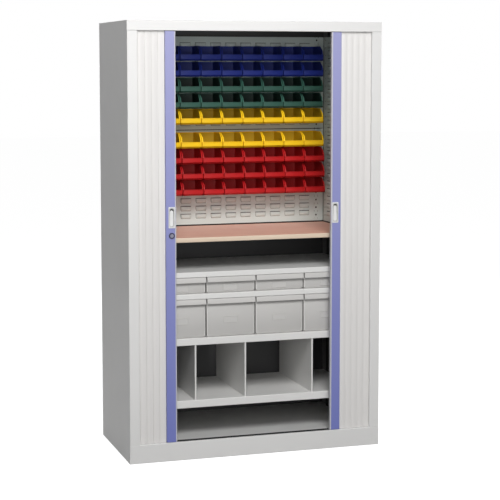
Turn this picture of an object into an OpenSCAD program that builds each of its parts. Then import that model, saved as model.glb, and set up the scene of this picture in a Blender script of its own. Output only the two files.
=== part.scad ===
// Tool cabinet with two sideways roll fronts, a louvred bin wall, a worktop, drawers and a divided shelf.
// X runs to the right, Y to the back and Z up; the origin is on the floor, at the middle of the base.

/* [Case] */
// Overall width of the steel case
case_w = 1200; // [1180:10:1300]
// Overall depth of the steel case
case_d = 580; // [560:5:660]
// Overall height of the steel case
case_h = 1980; // [1970:5:2200]
// Thickness of every folded steel sheet
sheet_t = 1.5; // [1.2:0.1:1.8]
// Outside radius of every bend in the sheet
bend_r = 3; // [2.4:0.2:4]
// Width of the two upright stiles of the front frame
stile_w = 46; // [40:1:56]
// Height of the top rail of the front frame
rail_h = 45; // [35:1:50]
// Height of the plinth under the roll fronts
plinth_h = 85; // [70:1:110]
// How far the edges of the front opening are turned inwards
frame_return = 12; // [10:0.5:15]
// Width of the flanges at the back and foot of the sheets
flange_w = 25; // [18:1:32]
// Width of the pocket beside the fittings that the roll front runs into
pocket_w = 70; // [62:1:78]

/* [Roll fronts] */
// Pitch of the slats
slat_pitch = 30; // [28:0.5:32]
// Thickness of a slat
slat_t = 5; // [4:0.5:5.5]
// Gap between two slats, and around each tongue
slat_gap = 0.3; // [0.2:0.05:0.5]
// Free space between one leaf of slats and the next
leaf_gap = 2; // [1.6:0.1:2.2]
// Width of the blue bar that leads each roll front
bar_w = 48; // [44:1:54]
// How far the bar stands in front of the slats
bar_proud = 10; // [8:0.5:10.5]
// Wall of the hollow bar
bar_wall = 2; // [1.5:0.1:2.5]
// Width of the pale strip along the bar's closing edge
strip_w = 6; // [4:0.5:7]
// Radius of the bar's front edges
bar_round = 3; // [2:0.5:5]
// How far the left roll front is pulled out of its fully open place
left_out = 19; // [0:1:60]
// How far the right roll front is pulled out of its fully open place
right_out = 42; // [0:1:60]
// How far the slats reach into each groove of the tracks
groove_bite = 6; // [4:0.5:7]
// Depth of the grooves in the tracks
groove_depth = 8; // [7.5:0.5:12]
// Height of the track profiles
track_h = 15; // [14:1:20]

/* [Handles and lock] */
// Width of the recessed handle plates
pull_w = 30; // [26:1:30]
// Height of the recessed handle plates
pull_h = 95; // [80:1:110]
// Height of the middle of the handle plates above the floor
pull_z = 1107; // [1100:1:1200]
// Width of the arched finger recess in a handle plate
pull_slot_w = 18; // [14:1:19]
// How far handle plates and lock sit from the bar's middle towards its closing edge
fit_shift = 3; // [0:0.5:3]
// Height of the lock above the floor
lock_z = 1025; // [950:1:1030]
// Diameter of the lock's collar
lock_d = 28; // [24:1:30]
// Diameter of the turning barrel of the lock
barrel_d = 16; // [13:0.5:18]
// Reach of the hook that the barrel turns, from its axis
hook_reach = 36; // [35:0.5:40]

/* [Fittings] */
// Depth from the front of the case to the shelves' front edges
shelf_front = 52; // [50:1:60]
// Depth of the shelves
shelf_d = 480; // [460:5:485]
// Top of the shelf with dividers, above the floor
divider_shelf_z = 262; // [240:1:300]
// Top of the shelf under the large drawers
main_shelf_z = 547.5; // [530:0.5:570]
// Top of the shelf between the two rows of drawers
tray_shelf_z = 750; // [735:1:760]
// Top of the shelf over the small drawers
cover_shelf_z = 850; // [845:1:880]
// Height of the front edge of the shelf with dividers
shelf_edge = 36; // [30:1:40]
// Height of the front edge of the shelf under the large drawers
main_edge = 33; // [30:1:40]
// Height of the front edge of the two shelves over drawers
tray_edge = 25; // [22:1:30]
// Top of the worktop above the floor
worktop_z = 1008; // [990:1:1014]
// Thickness of the wooden worktop
worktop_t = 21; // [18:1:30]
// Width of the slotted uprights
upright_w = 30; // [24:1:36]
// Depth of the slotted uprights
upright_d = 10; // [8:0.5:12]
// Pitch of the slots in the uprights and of the rows of louvres
slot_pitch = 37.5; // [37:0.1:38]
// Distance of the left divider from the middle of the shelf
left_divider = 283; // [200:1:400]
// Distance of the middle divider from the middle of the shelf
middle_divider = 45; // [0:1:100]
// Distance of the right divider from the middle of the shelf
right_divider = 282; // [200:1:400]
// Width of the flange at the front of a divider
divider_flange = 8; // [7:0.5:20]

/* [Drawers] */
// Free width between the outer drawers and the uprights
drawer_margin = 50; // [45:1:60]
// How far the row of drawers stands to the right of the middle
drawer_shift = 9.5; // [0:0.5:20]
// Free space between two drawers
drawer_space = 6; // [5:0.5:8]
// Length of a drawer from front to back
drawer_l = 400; // [340:5:430]
// Wall of a drawer
drawer_wall = 2.5; // [2:0.1:3]
// How far the pull lip stands out in front of a drawer
lip_d = 16; // [12:0.5:17]
// Height of the pull lip
lip_h = 24; // [20:1:28]
// Width of the card holder on a drawer front
card_w = 68; // [50:1:90]
// Height of the card holder on a drawer front
card_h = 30; // [24:1:34]
// Thickness of the plates that guide the drawers
guide_t = 1.5; // [1:0.1:2]

/* [Bin wall] */
// Depth from the front of the case to the louvre panels
louvre_depth = 540; // [525:1:550]
// Bottom of the lower louvre panel above the floor
louvre_z = 1020; // [1016:1:1022]
// Rows of louvres on the lower panel
louvre_rows = 12; // [12:1:12]
// Columns of louvres on one back panel
louvre_cols = 12; // [10:1:12]
// Plain width at each side of a back panel, beside its louvres
louvre_margin = 61; // [55:1:70]
// Width of one louvre
louvre_w = 54; // [46:1:60]
// Height of one louvre
louvre_tall = 22; // [18:1:24]
// How far a louvre stands out from its panel
louvre_proud = 6; // [5.6:0.1:7]
// Bins in one row
bin_count = 9; // [6:1:9]
// Free width at each side of a row of bins
bin_margin = 60; // [58:1:75]
// Free width between two bins
bin_gap = 2.5; // [1.5:0.5:6]
// Depth of one bin
bin_d = 145; // [120:1:170]
// Height of the front of one bin
bin_front_h = 30; // [24:1:34]
// Wall of one bin
bin_wall = 2; // [1.5:0.1:2.5]
// Free height between a bin and the bin above
bin_space = 5; // [3:0.5:7]

/* [Hidden] */

// Colours of paint, plastic and wood
paint = [0.86, 0.86, 0.85];
slat_paint = [0.88, 0.87, 0.86];
bar_blue = [0.45, 0.48, 0.72];
plate_grey = [0.72, 0.71, 0.69];
drawer_grey = [0.74, 0.74, 0.72];
dark_grey = [0.25, 0.25, 0.26];
steel = [0.7, 0.7, 0.7];
wood = [0.78, 0.62, 0.5];
bin_blue = [0.13, 0.19, 0.5];
bin_green = [0.2, 0.4, 0.33];
bin_yellow = [0.93, 0.75, 0.12];
bin_red = [0.78, 0.1, 0.12];

$fn = 48;
bend_steps = 4;
seat = 0.3; // clearance of what slides in or on another piece
over = 1; // how far a cut runs past a face

// The case: its faces, and the opening of the front frame
front = -case_d / 2;
back = case_d / 2;
half_w = case_w / 2;
wall_in = half_w - sheet_t;
back_in = back - 2 * sheet_t;
side_seam = 1.5;
wall_front = front + sheet_t + side_seam;
opening_low = plinth_h;
opening_high = case_h - rail_h;

// The roll fronts: one groove for each leaf of slats, one behind the other
leaf_count = 4;
leaf_step = slat_t + leaf_gap;
leaf_front = front + frame_return + 2;
bar_front = leaf_front - bar_proud;
bar_back = leaf_front + slat_t;
track_front = front + frame_return;
track_back = leaf_front + leaf_count * leaf_step;
slat_low = opening_low - groove_bite;
slat_high = opening_high + groove_bite;
bar_end_gap = 2;

// Edges of the leaves, counted in from the side of the case: open, shut and as they stand at rest
park = 3;
meet_gap = 0.5;
cover = stile_w - 6; // the last leaf still reaches this far behind the stile when shut
least_lap = 12;
shut_span = half_w - meet_gap - bar_w - cover;
leaf_slats = ceil((shut_span + (leaf_count - 1) * least_lap) / (leaf_count * slat_pitch));
leaf_w = leaf_slats * slat_pitch;
lap = (leaf_count * leaf_w - shut_span) / (leaf_count - 1);
function shut_edge(i) = half_w - meet_gap - bar_w - leaf_w - i * (leaf_w - lap);
function follow_ratio(i) = (shut_edge(i) - park) / (shut_edge(0) - park);
function rest_edge(out, i) = park + follow_ratio(i) * out;

// The liners and uprights that part the pockets from the fittings
liner_in = half_w - pocket_w;
liner_front = track_back + 3;
liner_flange = 15;
upright_in = liner_in - upright_d;
upright_wall = 2;

// Fittings
shelf_y = front + shelf_front;
shelf_back = shelf_y + shelf_d;
shelf_half = upright_in - 1;
shelf_turn = 12; // the turned-in edge under a shelf's front
upright_y = [shelf_y + 40, shelf_back - 70];
drawer_y = shelf_y + 14;
drawer_cols = 4;
drawer_pitch = 2 * (upright_in - drawer_margin) / drawer_cols;
drawer_w = drawer_pitch - drawer_space;
under_edge = 0.6; // gap between a drawer and the shelf edge above it
guide_front = shelf_y + 25;
guide_back = shelf_back - 15;
bracket_t = 2;
bracket_leg = 30;

// The bin wall
louvre_y = front + louvre_depth;
louvre_half = upright_in - 3;
louvre_pitch = 2 * (louvre_half - louvre_margin) / louvre_cols;
louvre_h = louvre_rows * slot_pitch;
rail_space = 10; // least free height between the upper panel and the top rail
upper_rows = floor((opening_high - rail_space - louvre_z - louvre_h) / slot_pitch);
first_louvre = 26.5; // top of the lowest louvre above its panel's bottom edge
hook_t = 2.5;
bin_pitch = (2 * (upright_in - bin_margin) + bin_gap) / bin_count;
bin_w = bin_pitch - bin_gap;
bin_h = 2 * slot_pitch - bin_space;
bin_back_y = louvre_y - louvre_proud - 0.5;

// Vectors: unit length, a quarter turn to the left, and which way one heading turns to another
function unit(v) = v / norm(v);
function left_of(v) = [-v[1], v[0]];
function turn(a, b) = a[0] * b[1] - a[1] * b[0];
function backwards(list) = [for (i = [len(list) - 1:-1:0]) list[i]];

// The arc of one bend: p is the corner, a and b the headings before and after it
function bend(p, a, b, inside) =
    let (
        s = sign(turn(a, b)),
        face_r = s > 0 ? bend_r : bend_r - sheet_t,
        angle = acos(a * b),
        centre = p - a * face_r * tan(angle / 2) + left_of(a) * s * face_r,
        r = face_r - s * inside,
        start = atan2(-s * left_of(a)[1], -s * left_of(a)[0])
    )
    [for (i = [0:bend_steps])
        let (at = start + s * angle * i / bend_steps)
        centre + r * [cos(at), sin(at)]];

// One face of a folded sheet: the path, moved inside by the given amount to its left
function sheet_face(path, inside) =
    let (
        n = len(path),
        heads = [for (i = [0:n - 2]) unit(path[i + 1] - path[i])]
    )
    concat(
        [path[0] + left_of(heads[0]) * inside],
        [for (i = [1:n - 2]) each bend(path[i], heads[i - 1], heads[i], inside)],
        [path[n - 1] + left_of(heads[n - 2]) * inside]);

// The section of a sheet folded along a path on its outer face, with the metal on the path's left
module folded(path) {
    polygon(concat(sheet_face(path, 0), backwards(sheet_face(path, sheet_t))));
}

// Runs a section drawn as [y, z] along X, centred on the middle of the cabinet
module along_x(length) {
    rotate([90, 0, 90])
        linear_extrude(height = length, center = true)
            children();
}

// Runs a section drawn as [x, y] up from one height to another
module up(low, high) {
    translate([0, 0, low])
        linear_extrude(height = high - low)
            children();
}

// A box between two corners
module block(low, high) {
    translate(low)
        cube(high - low);
}

// A pin, hole or disc that runs towards the back from the given point
module round_back(at, d, length) {
    translate(at)
        rotate([-90, 0, 0])
            cylinder(d = d, h = length);
}

// Case screws: where they stand, on the back flange of each side
screw_x = half_w - flange_w / 2 - 1;
screw_d = 4;
screw_end = 150; // from the foot and the top of the case to the nearest screw
screw_z = [for (i = [0:5]) screw_end + i * (case_h - 2 * screw_end) / 5];

module screw_holes() {
    for (s = [-1, 1], z = screw_z)
        round_back([s * screw_x, back_in - over, z], screw_d + 0.2, 2 * sheet_t + 2 * over);
}

module case_screws() {
    color(steel)
        for (s = [-1, 1], z = screw_z) {
            round_back([s * screw_x, back_in - 2, z], 2 * screw_d, 2);
            round_back([s * screw_x, back_in, z], screw_d, 2 * sheet_t);
        }
}

// Side panel: wall, front stile with its return, and back flange, in one sheet
module side_panel() {
    color(paint)
        difference() {
            union() {
                up(opening_low, opening_high)
                    folded([
                        [-half_w + flange_w, back], [-half_w, back], [-half_w, front],
                        [-half_w + stile_w, front], [-half_w + stile_w, front + frame_return]]);
                for (span = [[0, opening_low], [opening_high, case_h - sheet_t]])
                    up(span[0], span[1])
                        folded([[-half_w + flange_w, back], [-half_w, back], [-half_w, wall_front]]);
            }
            screw_holes();
        }
}

module left_side_panel() side_panel();

module right_side_panel() mirror([1, 0, 0]) side_panel();

// Clears the ends of rail and plinth, behind their faces, for the side walls
module between_walls(low, high) {
    difference() {
        children();
        for (s = [-1, 1])
            translate([s * half_w, front + sheet_t + case_d / 2, (low + high) / 2])
                cube([2 * sheet_t, case_d, high - low], center = true);
    }
}

// Top panel, with the front rail folded down from it and turned in
module top_panel() {
    color(paint)
        between_walls(opening_high - over, case_h - sheet_t)
            along_x(case_w)
                folded([
                    [back, case_h], [front, case_h], [front, opening_high],
                    [front + frame_return, opening_high]]);
}

// Plinth: the plate under the opening, turned in at the top and the bottom
module plinth() {
    color(paint)
        between_walls(-over, opening_low + over)
            along_x(case_w)
                folded([
                    [front + frame_return, opening_low], [front, opening_low], [front, 0],
                    [front + flange_w, 0]]);
}

// Base panel: the cabinet's floor, folded down in front and behind
module base_panel() {
    color(paint)
        along_x(2 * wall_in)
            folded([
                [back_in, opening_low - flange_w], [back_in, opening_low],
                [track_back, opening_low], [track_back, opening_low - flange_w]]);
}

// Back panel, screwed to the side panels' flanges and clear of their bends
module back_panel() {
    panel_half = half_w - bend_r - seat;
    color(paint)
        difference() {
            block([-panel_half, back_in, 0], [panel_half, back_in + sheet_t, case_h - sheet_t]);
            screw_holes();
        }
}

// Liner: the wall between a pocket and the fittings, flanged at its front and back edges
module liner() {
    color(paint)
        up(opening_low, case_h - sheet_t)
            folded([
                [-liner_in - liner_flange, liner_front], [-liner_in, liner_front],
                [-liner_in, back_in], [-liner_in - liner_flange, back_in]]);
}

module left_liner() liner();

module right_liner() mirror([1, 0, 0]) liner();

// Track: a profile with one groove for each leaf; its grooves open upwards at the bottom of the
// front and downwards at the top
module track(low, opens_up) {
    groove_low = opens_up ? low + track_h - groove_depth : low - over;
    color(dark_grey)
        difference() {
            block([-wall_in, track_front, low], [wall_in, track_back, low + track_h]);
            for (i = [0:leaf_count - 1])
                translate([-half_w, leaf_front + i * leaf_step - leaf_gap / 4, groove_low])
                    cube([case_w, slat_t + leaf_gap / 2, groove_depth + over]);
        }
}

module bottom_track() track(opening_low - track_h, true);

module top_track() track(opening_high, false);

// Slotted uprights: four channels on the liners, which carry the shelves and louvre walls
module upright(y) {
    slots = floor((case_h - opening_low - 60) / slot_pitch);
    difference() {
        block([-liner_in, y, opening_low], [-upright_in, y + upright_w, case_h - sheet_t]);
        block(
            [-liner_in - over, y + upright_wall, opening_low - over],
            [-upright_in - upright_wall, y + upright_w - upright_wall, case_h]);
        for (i = [0:slots - 1])
            translate([-upright_in, y + upright_w / 2, opening_low + 40 + i * slot_pitch])
                cube([3 * upright_wall, 5, 14], center = true);
    }
}

module shelf_uprights() {
    color(steel)
        for (s = [0, 1], y = upright_y)
            mirror([s, 0, 0])
                upright(y);
}

// Shelf clips: an angle on the upright under each corner of each shelf
module shelf_clips() {
    clip_w = 16;
    color(steel)
        for (s = [0, 1], y = upright_y,
             z = [divider_shelf_z, main_shelf_z, tray_shelf_z, cover_shelf_z])
            mirror([s, 0, 0])
                translate([-upright_in, y + (upright_w - clip_w) / 2, z - sheet_t]) {
                    translate([0, 0, -2])
                        cube([14, clip_w, 2]);
                    translate([0, 0, -18])
                        cube([2, clip_w, 16]);
                }
}

// One louvre: a hood open at its top, drawn as [y, z] from the face of its panel
module louvre() {
    along_x(louvre_w)
        polygon([
            [0.5, -louvre_tall], [-louvre_proud, louvre_proud - louvre_tall], [-louvre_proud, 0],
            [sheet_t - louvre_proud, 0], [sheet_t - louvre_proud, louvre_proud + 0.5 - louvre_tall],
            [0.5, sheet_t + 0.5 - louvre_tall]]);
}

// Louvre panel: a sheet with louvres and a column of holes at each end, boxed back to the back panel
module louvre_panel(low, rows) {
    color(plate_grey)
        difference() {
            union() {
                up(low, low + rows * slot_pitch)
                    folded([
                        [-louvre_half, back_in], [-louvre_half, louvre_y],
                        [louvre_half, louvre_y], [louvre_half, back_in]]);
                for (c = [0:louvre_cols - 1], r = [0:rows - 1])
                    translate([
                        (c - (louvre_cols - 1) / 2) * louvre_pitch, louvre_y,
                        low + first_louvre + r * slot_pitch])
                        louvre();
            }
            for (s = [-1, 1], r = [0:rows - 1])
                round_back(
                    [s * (louvre_half - 36), louvre_y - over, low + first_louvre + r * slot_pitch],
                    6, sheet_t + 2 * over);
        }
}

module louvre_panel_lower() louvre_panel(louvre_z, louvre_rows);

module louvre_panel_upper() louvre_panel(louvre_z + louvre_h, upper_rows);

// Louvre wall: the louvred sheet on the uprights at each side of the bins
module louvre_wall() {
    cols = 5;
    rows = louvre_rows + upper_rows;
    wall_y = [shelf_y + 30, louvre_y - 5];
    color(plate_grey) {
        block(
            [-upright_in, wall_y[0], louvre_z],
            [-upright_in + sheet_t, wall_y[1], louvre_z + rows * slot_pitch]);
        for (c = [0:cols - 1], r = [0:rows - 1])
            translate([
                sheet_t - upright_in,
                (wall_y[0] + wall_y[1]) / 2 + (c - (cols - 1) / 2) * louvre_pitch,
                louvre_z + first_louvre + r * slot_pitch])
                rotate([0, 0, 90])
                    louvre();
    }
}

module left_louvre_wall() louvre_wall();

module right_louvre_wall() mirror([1, 0, 0]) louvre_wall();

// One bin: an open box with a low leaning front, a rim to grip and a hook behind its back edge.
// It is drawn as [y, z] from the foot of its front, and its hook sits on a louvre's edge at z
bin_foot = 12; // how far the foot of the front is set back
bin_toe = 9; // height of the sloping foot
rim = 2;
hook_drop = 9;

module bin(x, z) {
    translate([x, bin_back_y - bin_d, z - bin_h + hook_t]) {
        difference() {
            along_x(bin_w)
                polygon([
                    [bin_foot, 0], [0, bin_toe], [0, bin_front_h], [8, bin_front_h],
                    [16, bin_front_h + 14], [44, bin_h], [bin_d, bin_h], [bin_d, 0]]);
            along_x(bin_w - 2 * bin_wall)
                polygon([
                    [bin_foot + bin_wall, bin_wall], [bin_wall, bin_toe + bin_wall],
                    [bin_wall, bin_h + over], [bin_d - bin_wall, bin_h + over],
                    [bin_d - bin_wall, bin_wall]]);
        }
        along_x(bin_w)
            polygon([
                [-rim, bin_front_h - rim], [-rim, bin_front_h], [bin_wall, bin_front_h],
                [bin_wall, bin_front_h - rim]]);
        along_x(bin_w - 12)
            polygon([
                [bin_d - 1, bin_h], [bin_d + louvre_proud - 1, bin_h],
                [bin_d + louvre_proud - 1, bin_h - hook_drop], [bin_d + louvre_proud - 3, bin_h - hook_drop],
                [bin_d + louvre_proud - 3, bin_h - hook_t], [bin_d - 1, bin_h - hook_t]]);
    }
}

// A row of bins on the row of louvres with the given number, moved a little along it
module bin_row(row, shift = 0) {
    for (i = [0:bin_count - 1])
        bin((i - (bin_count - 1) / 2) * bin_pitch + shift, louvre_z + first_louvre + row * slot_pitch);
}

module bins_blue_top() color(bin_blue) bin_row(22);

module bins_blue_low() color(bin_blue) bin_row(20);

module bins_green_top() color(bin_green) bin_row(18);

module bins_green_low() color(bin_green) bin_row(16);

module bins_yellow_top() color(bin_yellow) bin_row(14, 2);

module bins_yellow_low() color(bin_yellow) bin_row(11, 4);

module bins_red_top() color(bin_red) bin_row(9, 8);

module bins_red_mid() color(bin_red) bin_row(7, 10);

module bins_red_low() color(bin_red) bin_row(5, 12);

// Worktop: a board between the uprights, on two steel angles
module worktop() {
    color(wood)
        block(
            [-shelf_half, shelf_y - 2, worktop_z - worktop_t],
            [shelf_half, louvre_y - 2, worktop_z]);
}

module worktop_brackets() {
    color(steel)
        for (s = [0, 1])
            mirror([s, 0, 0])
                translate([-upright_in, shelf_y + 20, worktop_z - worktop_t]) {
                    translate([0, 0, -bracket_t])
                        cube([bracket_leg, shelf_d - 40, bracket_t]);
                    translate([0, 0, -bracket_leg])
                        cube([bracket_t, shelf_d - 40, bracket_leg - bracket_t]);
                }
}

// A shelf: a sheet with a front edge folded down and turned in, and a flange behind
module shelf(z, edge) {
    color(paint)
        along_x(2 * shelf_half)
            folded([
                [shelf_back, z - flange_w], [shelf_back, z], [shelf_y, z], [shelf_y, z - edge],
                [shelf_y + shelf_turn, z - edge]]);
}

module cover_shelf() shelf(cover_shelf_z, tray_edge);

module tray_shelf() shelf(tray_shelf_z, tray_edge);

module main_shelf() shelf(main_shelf_z, main_edge);

module divider_shelf() shelf(divider_shelf_z, shelf_edge);

// Guide plates between and beside the drawers, each from one shelf to the next
module drawer_guides() {
    color(steel)
        for (i = [-drawer_cols / 2:drawer_cols / 2],
             span = [[main_shelf_z, tray_shelf_z], [tray_shelf_z, cover_shelf_z]])
            translate([drawer_shift + i * drawer_pitch - guide_t / 2, guide_front, span[0]])
                cube([guide_t, guide_back - guide_front, span[1] - sheet_t - span[0]]);
}

// Shelf dividers: plates with a front flange, which stand between two shelves and clear the front
// edge of the upper one
module shelf_dividers() {
    color(paint)
        for (x = [-left_divider, -middle_divider, right_divider])
            translate([x, 0, 0])
                difference() {
                    up(divider_shelf_z, main_shelf_z - sheet_t)
                        folded([
                            [0, guide_back], [0, shelf_y + 2], [divider_flange, shelf_y + 2],
                            [divider_flange, shelf_y + shelf_turn]]);
                    translate([-2 * sheet_t, shelf_y, main_shelf_z - main_edge])
                        cube([divider_flange + 4 * sheet_t, shelf_turn + over, main_edge]);
                }
}

// A drawer: an open box with a card holder, and a pull lip that slopes back from the top of its front
lip_slope = 6;

module drawer(column, low, high) {
    card_z = (low + high - lip_h) / 2;
    color(drawer_grey)
        translate([drawer_shift + (column - (drawer_cols + 1) / 2) * drawer_pitch, drawer_y, 0]) {
            difference() {
                block([-drawer_w / 2, 0, low], [drawer_w / 2, drawer_l, high]);
                block(
                    [drawer_wall - drawer_w / 2, drawer_wall, low + drawer_wall],
                    [drawer_w / 2 - drawer_wall, drawer_l - drawer_wall, high + over]);
            }
            along_x(drawer_w)
                polygon([
                    [over, high], [3 - lip_d, high], [0.8 - lip_d, high - 0.8], [-lip_d, high - 3],
                    [lip_slope - lip_d, high - lip_h], [lip_slope - lip_d + drawer_wall, high - lip_h],
                    [drawer_wall - lip_d, high - 4], [4 - lip_d, high - drawer_wall],
                    [over, high - drawer_wall]]);
            difference() {
                block([-card_w / 2, -1.2, card_z - card_h / 2], [card_w / 2, over, card_z + card_h / 2]);
                block(
                    [3 - card_w / 2, -2, card_z - card_h / 2 + 3],
                    [card_w / 2 - 3, -0.3, card_z + card_h / 2 + over]);
            }
        }
}

module small_drawer(column) {
    drawer(column, tray_shelf_z + seat, cover_shelf_z - tray_edge - under_edge);
}

module large_drawer(column) {
    drawer(column, main_shelf_z + seat, tray_shelf_z - tray_edge - under_edge);
}

module small_drawer_1() small_drawer(1);

module small_drawer_2() small_drawer(2);

module small_drawer_3() small_drawer(3);

module small_drawer_4() small_drawer(4);

module large_drawer_1() large_drawer(1);

module large_drawer_2() large_drawer(2);

module large_drawer_3() large_drawer(3);

module large_drawer_4() large_drawer(4);

// One slat, drawn as [x, y] from its left front corner: eased front edges, a groove on the left,
// and on the right a tongue that reaches into the next slat
ease = 0.8;
tongue_l = 2;
tongue_t = 1.6;

module slat(has_tongue) {
    w = slat_pitch - slat_gap;
    mid = slat_t / 2;
    groove = tongue_t / 2 + slat_gap;
    tongue = has_tongue ? tongue_l : 0;
    polygon([
        [0, ease], [ease, 0], [w - ease, 0], [w, ease], [w, mid - tongue_t / 2],
        [w + tongue, mid - tongue_t / 2], [w + tongue, mid + tongue_t / 2], [w, mid + tongue_t / 2],
        [w, slat_t], [0, slat_t], [0, mid + groove], [tongue_l, mid + groove],
        [tongue_l, mid - groove], [0, mid - groove]]);
}

// A leaf of slats in the groove with the given number; out is how far its roll front is pulled out
module leaf(out, groove) {
    color(slat_paint)
        for (i = [0:leaf_slats - 1])
            translate([
                -half_w + rest_edge(out, groove) + i * slat_pitch,
                leaf_front + groove * leaf_step, 0])
                up(slat_low, slat_high)
                    slat(i < leaf_slats - 1);
}

module left_front_leaf() leaf(left_out, 0);

module left_leaf_2() leaf(left_out, 1);

module left_leaf_3() leaf(left_out, 2);

module left_leaf_4() leaf(left_out, 3);

module right_front_leaf() mirror([1, 0, 0]) leaf(right_out, 0);

module right_leaf_2() mirror([1, 0, 0]) leaf(right_out, 1);

module right_leaf_3() mirror([1, 0, 0]) leaf(right_out, 2);

module right_leaf_4() mirror([1, 0, 0]) leaf(right_out, 3);

// Leading bar: a hollow profile with round front edges, and a tongue in the tracks at each end.
// It is drawn about its own middle, with its closing edge towards +X
module bar_profile(from, to) {
    intersection() {
        union() {
            translate([-bar_w / 2, bar_front + bar_round])
                square([bar_w, bar_back - bar_front - bar_round]);
            translate([bar_round - bar_w / 2, bar_front])
                square([bar_w - 2 * bar_round, bar_round + over]);
            for (s = [-1, 1])
                translate([s * (bar_w / 2 - bar_round), bar_front + bar_round])
                    circle(r = bar_round);
        }
        translate([from, bar_front])
            square([to - from, bar_back - bar_front]);
    }
}

module bar() {
    difference() {
        up(opening_low + bar_end_gap, opening_high - bar_end_gap)
            difference() {
                bar_profile(-bar_w / 2, bar_w / 2 - strip_w);
                translate([bar_wall - bar_w / 2, bar_front + bar_wall])
                    square([bar_w - strip_w - 2 * bar_wall, bar_back - bar_front - 2 * bar_wall]);
            }
        block(
            [fit_shift + 2 - pull_w / 2, bar_front - over, pull_z - pull_h / 2 + 2],
            [fit_shift + pull_w / 2 - 2, bar_front + bar_wall + over, pull_z + pull_h / 2 - 2]);
    }
    for (low = [slat_low, opening_high - bar_end_gap])
        block(
            [3 - bar_w / 2, leaf_front, low],
            [bar_w / 2 - strip_w - 1, bar_back, low + groove_bite + bar_end_gap]);
}

left_bar_x = -half_w + park + left_out + leaf_w + bar_w / 2;
right_bar_x = half_w - park - right_out - leaf_w - bar_w / 2;
lock_x = left_bar_x + fit_shift;

// Edge strip: the pale moulding along the bar's closing edge, hollow behind its wall
module edge_strip() {
    color(plate_grey)
        difference() {
            up(opening_low + bar_end_gap, opening_high - bar_end_gap)
                difference() {
                    bar_profile(bar_w / 2 - strip_w, bar_w / 2);
                    translate([bar_w / 2 - strip_w - over, bar_front + bar_wall])
                        square([strip_w - bar_wall + over, bar_back - bar_front - 2 * bar_wall]);
                }
            hook_slot();
        }
}

module left_edge_strip()
    translate([left_bar_x, 0, 0])
        edge_strip();

module right_edge_strip()
    translate([right_bar_x, 0, 0])
        mirror([1, 0, 0])
            edge_strip();

module left_bar() {
    color(bar_blue)
        translate([left_bar_x, 0, 0])
            difference() {
                bar();
                round_back([fit_shift, bar_front - over, lock_z], lock_d - 4, bar_wall + 2 * over);
                hook_slot();
            }
}

module right_bar() {
    color(bar_blue)
        translate([right_bar_x, 0, 0])
            mirror([1, 0, 0])
                difference() {
                    bar();
                    hook_slot();
                }
}

// Lock: a collar in the left bar, a barrel that turns in it, and the hook on the barrel's end,
// which hangs down when open and swings through the bars' closing edges when locked
collar_proud = 2;
collar_in = 1.5; // how far the collar reaches behind the bar's face
hook_t_y = 3;
hook_w = 10;
hook_y = bar_front + bar_wall + collar_in + seat;
hook_fall = sqrt(pow(hook_reach, 2) - pow(bar_w / 2 - strip_w - bar_wall - fit_shift, 2));

module hook_slot() {
    block(
        [bar_w / 2 - strip_w - bar_wall - over, hook_y - 1, lock_z - hook_fall - 3],
        [bar_w / 2 + over, hook_y + hook_t_y + 1, lock_z + hook_w / 2 + 2]);
}

module lock_collar() {
    color(steel)
        difference() {
            union() {
                round_back([lock_x, bar_front - collar_proud, lock_z], lock_d, collar_proud);
                round_back([lock_x, bar_front, lock_z], lock_d - 4, bar_wall + collar_in);
            }
            round_back([lock_x, bar_front - 3 * collar_proud, lock_z], barrel_d + 0.2, 20);
        }
}

module lock_barrel() {
    face = bar_front - collar_proud - 0.5;
    color(steel)
        difference() {
            round_back([lock_x, face, lock_z], barrel_d, hook_y - face);
            block([lock_x - 1, face - over, lock_z - 4.5], [lock_x + 1, face + 3, lock_z + 4.5]);
        }
}

module lock_hook() {
    color(steel)
        translate([lock_x, hook_y, lock_z])
            rotate([90, 0, 0])
                mirror([0, 0, 1])
                    linear_extrude(height = hook_t_y)
                        union() {
                            circle(d = barrel_d - 1);
                            intersection() {
                                circle(r = hook_reach);
                                translate([-hook_w / 2, -hook_reach])
                                    square([hook_w, hook_reach]);
                            }
                        }
}

// Strike plate: the slotted plate behind the right bar's closing wall
module strike_plate() {
    color(steel)
        translate([right_bar_x, 0, 0])
            mirror([1, 0, 0])
                translate([-strip_w - bar_wall, 0, 0])
                    difference() {
                        block(
                            [bar_w / 2 - sheet_t, bar_front + bar_wall, lock_z - hook_fall - 10],
                            [bar_w / 2, bar_back - bar_wall, lock_z + 20]);
                        hook_slot();
                    }
}

// Handle plate: a rim on the bar's face and a cup behind it, whose arched finger recess is deepest at
// its top
module pull(x) {
    cup = [pull_w - 4 - 2 * seat, pull_h - 4 - 2 * seat];
    deep = bar_back - bar_front - bar_wall - seat;
    arch_r = pull_slot_w / 2;
    reach = pull_h / 2 - 8 - arch_r;
    color(plate_grey)
        translate([x, bar_front, pull_z])
            difference() {
                union() {
                    block([-pull_w / 2, -1.5, -pull_h / 2], [pull_w / 2, 0, pull_h / 2]);
                    block([-cup[0] / 2, -1, -cup[1] / 2], [cup[0] / 2, deep, cup[1] / 2]);
                }
                intersection() {
                    translate([0, -2, 0])
                        rotate([-90, 0, 0])
                            linear_extrude(height = deep)
                                union() {
                                    square([pull_slot_w, 2 * reach], center = true);
                                    for (s = [-1, 1])
                                        translate([0, s * reach])
                                            circle(r = arch_r);
                                }
                    along_x(pull_w)
                        polygon([
                            [-2, -pull_h / 2], [2, -pull_h / 2], [deep - 2, pull_h / 2 - 30],
                            [deep - 2, pull_h / 2], [-2, pull_h / 2]]);
                }
            }
}

module left_pull() pull(left_bar_x + fit_shift);

module right_pull() pull(right_bar_x - fit_shift);

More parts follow.
